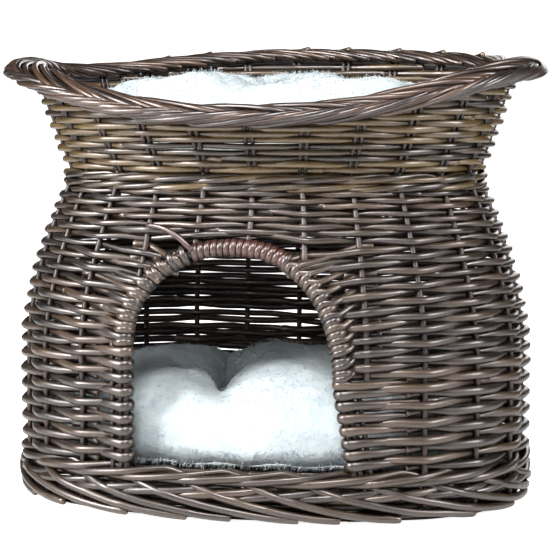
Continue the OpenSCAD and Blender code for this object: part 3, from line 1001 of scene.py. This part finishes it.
def simulate(points, faces, pins, cap):
    """Inflates the cover as cloth held at its pins: its points, each moved at most its cap."""
    mesh = bpy.data.meshes.new("cloth_form")
    mesh.from_pydata(points.tolist(), [], faces)
    obj = new_object("cloth_form", mesh)
    obj.vertex_groups.new(name="held").add(pins.tolist(), 1.0, "REPLACE")
    cloth = obj.modifiers.new("Cloth", "CLOTH")
    settings = cloth.settings
    settings.quality = 5
    settings.mass = 0.25
    settings.tension_stiffness = settings.compression_stiffness = 12
    settings.shear_stiffness = 6
    settings.bending_stiffness = 0.35
    settings.use_pressure = True
    settings.uniform_pressure_force = SWELL_PRESSURE
    settings.shrink_min = -SPARE_CLOTH
    settings.vertex_group_mass = "held"
    settings.effector_weights.gravity = 0
    cloth.collision_settings.use_collision = False
    cloth.point_cache.frame_start, cloth.point_cache.frame_end = 1, SWELL_FRAMES
    for f in range(1, SWELL_FRAMES + 1):
        bpy.context.scene.frame_set(f)
    evaluated = obj.evaluated_get(bpy.context.evaluated_depsgraph_get())
    swollen = np.empty(len(points) * 3, np.float32)
    evaluated.data.vertices.foreach_get("co", swollen)
    bpy.context.scene.frame_set(1)
    bpy.data.objects.remove(obj)
    moved = swollen.reshape(-1, 3).astype(float) - points
    size = np.linalg.norm(moved, axis=1, keepdims=True)
    return points + moved * np.minimum(1, cap[:, None] / np.maximum(size, 1e-9))


def even_out(moves):
    """Evens out the moves of neighbouring points, round each ring and from ring to ring."""
    grid = moves[1:-1].reshape(-1, AROUND, 3)
    for _ in range(3):
        grid = (2 * grid + np.roll(grid, 1, 1) + np.roll(grid, -1, 1)) / 4
        ends = np.concatenate([grid[:1], grid, grid[-1:]])
        grid = (2 * grid + ends[:-2] + ends[2:]) / 4
    return np.vstack([moves[:1], grid.reshape(-1, 3), moves[-1:]])


def roughness(points, size, scale, offset):
    """A smooth noise at the points, at most about size."""
    return np.array([noise.noise(Vector(p) * scale + Vector(offset)) * size for p in points])


def keep_inside(points, half_at, low_z):
    """Draws points in to the space that the walls leave, and up to the floor."""
    half = half_at(points[:, 2])
    x, y = np.abs(points[:, 0]) / half, np.abs(points[:, 1]) / (half - SIDE_IN)
    points[:, :2] /= np.maximum((x**POWER + y**POWER) ** (1 / POWER), 1)[:, None]
    points[:, 2] = np.maximum(points[:, 2], low_z)
    return points


def mesh_of(name, points, faces):
    """A smooth mesh, with the points that its faces don't use left out."""
    used = sorted({i for f in faces for i in f})
    place = {old: new for new, old in enumerate(used)}
    mesh = bpy.data.meshes.new(name)
    mesh.from_pydata(points[used].tolist(), [], [[place[i] for i in f] for f in faces])
    mesh.polygons.foreach_set("use_smooth", np.ones(len(faces), bool))
    mesh.update()
    return mesh


def point_normals(points, faces):
    total = np.zeros_like(points)
    for f in faces:
        a, b, c = (points[i] for i in f[:3])
        n = np.cross(b - a, c - a)
        for i in f:
            total[i] += n
    return unit(total)


def shell_faces(faces, shift):
    """Faces of a cover with thickness: outside, inside, and the strip along its open edge."""
    edges = dict.fromkeys((a, b) for f in faces for a, b in zip(f, (*f[1:], f[0])))
    inner = [tuple(i + shift for i in reversed(f)) for f in faces]
    strip = [(b, a, a + shift, b + shift) for a, b in edges if (b, a) not in edges]
    return faces + inner + strip


def pile(rng, points, normals, count, length, radius, droop):
    """Short tapered tufts of pile that stand on the points, each a closed three-sided spike."""
    pick = rng.integers(0, len(points) - 1, count)
    share = rng.uniform(0, 1, (count, 1))
    root = points[pick] * (1 - share) + points[pick + 1] * share
    root = root + rng.normal(0, 0.0014, (count, 3)) - normals[pick] * 0.0008
    lean = unit(normals[pick] + rng.normal(0, 0.55, (count, 3)) + np.array([0, 0, -droop]))
    size = length * rng.uniform(0.6, 1.3, (count, 1))
    side = unit(np.cross(lean, rng.normal(0, 1, (count, 3))))
    other = np.cross(lean, side)
    thick = radius * rng.uniform(0.7, 1.2, (count, 1))
    angles = [2 * math.pi * k / 3 for k in range(3)]
    ring = [(side * math.cos(a) + other * math.sin(a)) * thick for a in angles]
    tip = root + (lean + np.array([0, 0, -droop * 0.35])) * size
    verts = [root + r for r in ring] + [root + lean * size * 0.55 + r * 0.75 for r in ring] + [tip]
    faces = [(0, 1, 4, 3), (1, 2, 5, 4), (2, 0, 3, 5), (3, 4, 6), (4, 5, 6), (5, 3, 6), (2, 1, 0)]
    faces = [tuple(7 * tuft + i for i in f) for tuft in range(count) for f in faces]
    return np.stack(verts, 1).reshape(-1, 3), faces


def cushion(name, seed, half, seam, up, down, dents, tufts, half_at, low_z, fringe):
    """One stuffed cushion: plush top, plain base, filling and tuft stitches."""
    rng = np.random.default_rng(seed)
    # The cloth swells from a form a little smaller than the cushion
    verts = cushion_shape(half * 0.965, seam, up * 0.93, down * 0.97, dents)
    faces = cushion_faces()
    crown = np.arange(len(verts)) < CROWN_POINTS
    lumps = roughness(verts, 0.004, 22, (seed, 0, 0)) + roughness(verts, 0.002, 60, (0, seed, 0))
    verts[:, 2] += lumps * crown
    pins = ~crown & (verts[:, 2] < seam - down * 0.8)
    pins[SEAM_RING] = True
    for x, y in tufts:
        pins |= crown & (np.hypot(verts[:, 0] - x, verts[:, 1] - y) < 0.007)
    # The cover may swell most on its crown, and hardly at all under its seam
    cap = np.where(crown, np.clip(0.0015 + 0.35 * (verts[:, 2] - seam), 0.0015, 0.014), 0.001)
    verts = verts + even_out(simulate(verts, faces, np.flatnonzero(pins), cap) - verts)
    # The pile lies in small locks
    locks = roughness(verts, 0.0013, 130, (seed, 3, 0)) + roughness(verts, 0.0006, 320, (3, seed, 1))
    verts = verts + point_normals(verts, faces) * (locks * crown)[:, None]
    verts = keep_inside(verts, half_at, low_z)
    normals = point_normals(verts, faces)
    cover = np.vstack([verts, verts - normals * COVER])
    crown_faces, belly_faces = faces[:CROWN_FACES], faces[CROWN_FACES:]
    for part, points, part_faces, material, slot, node in (
        ("_plush", cover, shell_faces(crown_faces, len(verts)), PLUSH, "white_plush", "_top_cover"),
        ("_base", cover, shell_faces(belly_faces, len(verts)), LINING, "cushion_lining", "_base_cover"),
        ("_fill", verts - normals * FILL_IN, faces, FILLING, "polyester_filling", "_filling"),
    ):
        mesh = mesh_of(name + part, points, part_faces)
        dress(mesh, name + part, material, name, [name + node])
    # Pile over the crown, and a fringe of longer pile at the seam
    count = 12000
    points, tuft_faces = pile(
        rng, verts[crown], normals[crown], count, length=0.0024, radius=0.00035, droop=0.15
    )
    ring = np.concatenate([SEAM_RING - AROUND, SEAM_RING, SEAM_RING + AROUND])
    fringe_points, fringe_faces = pile(
        rng, verts[ring], normals[ring], fringe, length=0.0046, radius=0.00028, droop=0.8
    )
    tuft_faces += [tuple(i + len(points) for i in f) for f in fringe_faces]
    points = keep_inside(np.vstack([points, fringe_points]), half_at, low_z + LOOSE_FIT)
    mesh = mesh_of(name + "_pile", points, tuft_faces)
    dress(mesh, name + "_pile", PLUSH, name, [])
    # Each tuft is a stitch of two crossed threads on the crown, and one down through the filling
    stitches = Rods(seed + 5, 6)
    for x, y in tufts:
        top = verts[np.argmin(np.hypot(verts[crown, 0] - x, verts[crown, 1] - y))]
        for a in (0.3, 1.9):
            k = np.linspace(-1, 1, 9)
            reach = STITCH_REACH * k
            arc = [reach * math.cos(a), reach * math.sin(a), 0.0026 * (1 - k * k) - 0.001]
            stitches.add(top + np.stack(arc, -1), STITCH_ROD, cut=0)
        k = np.linspace(0, 1, 8)
        fall = [0 * k, 0 * k, -0.004 - (top[2] - seam + down * 0.8) * k]
        stitches.add(top + np.stack(fall, -1), STITCH_ROD, up=(0, 1, 0), cut=0)
    stitches.build(name + "_stitches", THREAD, "stitch_thread", name + "_tufts", body=name)


# A dent is its x and y, its width and length, its depth, and how far it leans
cushion(
    "lower_cushion", 71, half=0.232, seam=0.0490, up=0.0794, down=0.0066,
    dents=[(-0.047, -0.020, 0.0105, 0.058, 0.036, -0.15), (0.105, -0.01, 0.03, 0.035, 0.012, 0.2)],
    tufts=[(-0.047, -0.022), (0.105, -0.010)],
    half_at=lambda z: np.full_like(z, 0.2355), low_z=0.0428, fringe=7000,
)
cushion(
    "upper_cushion", 72, half=0.201, seam=0.3544, up=0.055, down=0.038,
    dents=[
        (-0.075, 0.045, 0.024, 0.050, 0.016, 0.3),
        (-0.008, 0.010, 0.028, 0.05, 0.018, -0.5),
        (0.088, 0.026, 0.03, 0.06, 0.014, 0.2),
    ],
    tufts=[(-0.092, 0.030), (-0.008, -0.028), (0.088, 0.026)],
    half_at=lambda z: 0.198 + (z - 0.322) * 0.16, low_z=0.3168, fringe=800,
)

# ---- Stage, light and camera ----


def stage_material():
    n = Nodes("pale_floor")
    colour = n.grey(n.noise(n.position(), 3.0, 3.0, 0.55), 0.3, 0.7, 0.86, 0.90)
    # The floor looks as white as the backdrop, but lights the object only by what falls on it
    seen = n.maths("MULTIPLY", n.add("ShaderNodeLightPath").outputs["Is Camera Ray"], 0.75)
    constants = {"Roughness": 0.7, "Emission Color": (1, 1, 1, 1)}
    return n.finish(constants, {"Base Color": colour, "Emission Strength": seen})


FLOOR_RADIUS, FLOOR_CORNERS = 1.6, 96
mesh = bpy.data.meshes.new("floor")
turn = np.linspace(0, 2 * math.pi, FLOOR_CORNERS, endpoint=False)
edge = [(FLOOR_RADIUS * math.cos(a), FLOOR_RADIUS * math.sin(a), 0) for a in turn]
mesh.from_pydata(edge, [], [tuple(range(FLOOR_CORNERS))])
mesh.materials.append(stage_material())
new_object("floor", mesh)

world = bpy.data.worlds.new("studio")
bpy.context.scene.world = world
world.use_nodes = True
sky = world.node_tree
# The backdrop is plain white to the camera and dimmer as a light
backdrop = sky.nodes["Background"]
backdrop.inputs["Color"].default_value = (1.0, 1.0, 1.0, 1)
light_path = sky.nodes.new("ShaderNodeLightPath")
strength = sky.nodes.new("ShaderNodeMapRange")
strength.inputs["To Min"].default_value, strength.inputs["To Max"].default_value = 0.055, 1.0
sky.links.new(light_path.outputs["Is Camera Ray"], strength.inputs["Value"])
sky.links.new(strength.outputs["Result"], backdrop.inputs["Strength"])
bpy.context.scene.view_settings.view_transform = "Standard"
bpy.context.scene.view_settings.look = "Medium High Contrast"

LIT_POINT = Vector((0, 0, 0.22))  # what the lights face
for name, place, size, power in (
    ("left", (-1.45, -1.10, 1.00), (0.55, 1.0), 54),
    ("right", (1.69, -0.68, 1.00), (0.50, 0.9), 27),
    ("front", (0.0, -1.25, 1.65), (0.5, 0.4), 30),
    ("fill", (0.3, -2.4, 0.5), (0.6, 0.5), 5),
    ("back", (0.3, 2.2, 0.85), (1.8, 0.9), 14),
):
    lamp = bpy.data.lights.new(name, "AREA")
    lamp.shape = "RECTANGLE"
    lamp.size, lamp.size_y = size
    lamp.energy = power
    light = new_object(name, lamp)
    light.location = place
    light.rotation_mode = "QUATERNION"
    light.rotation_quaternion = (LIT_POINT - Vector(place)).to_track_quat("-Z", "Y")

AZIMUTH, DISTANCE, CAMERA_Z = math.radians(9.5), 1.773, 0.405
TILT, PAN = math.radians(6.35), math.radians(0.19)
camera = new_object("camera", bpy.data.cameras.new("camera"))
camera.data.lens = 114.4
camera.location = (DISTANCE * math.sin(AZIMUTH), -DISTANCE * math.cos(AZIMUTH), CAMERA_Z)
camera.rotation_euler = (math.pi / 2 - TILT, 0, AZIMUTH - PAN)
camera.data.clip_start, camera.data.clip_end = 0.05, 50
bpy.context.scene.camera = camera
